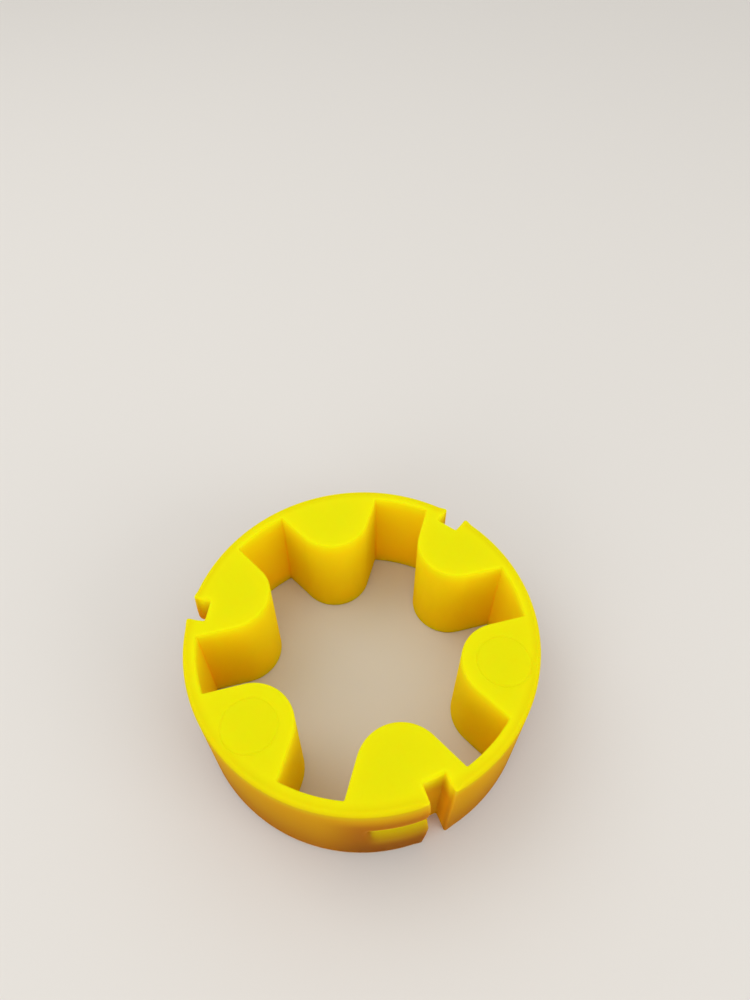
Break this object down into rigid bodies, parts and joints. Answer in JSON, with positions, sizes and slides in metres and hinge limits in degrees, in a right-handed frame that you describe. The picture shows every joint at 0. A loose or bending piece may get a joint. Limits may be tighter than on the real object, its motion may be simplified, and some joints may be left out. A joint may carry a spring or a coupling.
{
  "type": "coupling flexible element",
  "caption": "Yellow cast urethane ring with inward lobes between jaw pockets, and notches with locking grooves on its outer wall; the flexible element of a jaw coupling.",
  "frame": {"origin": "on the ring's axis, in the plane of the bottom face", "axes": "+Z along the ring's axis, from the bottom face to the marked top face; +Y through the middle of the plain lobe that faces the notched one"},
  "size_m": [0.1142, 0.1142, 0.04],
  "materials": {
    "urethane": "satin"
  },
  "bodies": {
    "root": {"flexible_element": "urethane"}
  },
  "joints": []
}
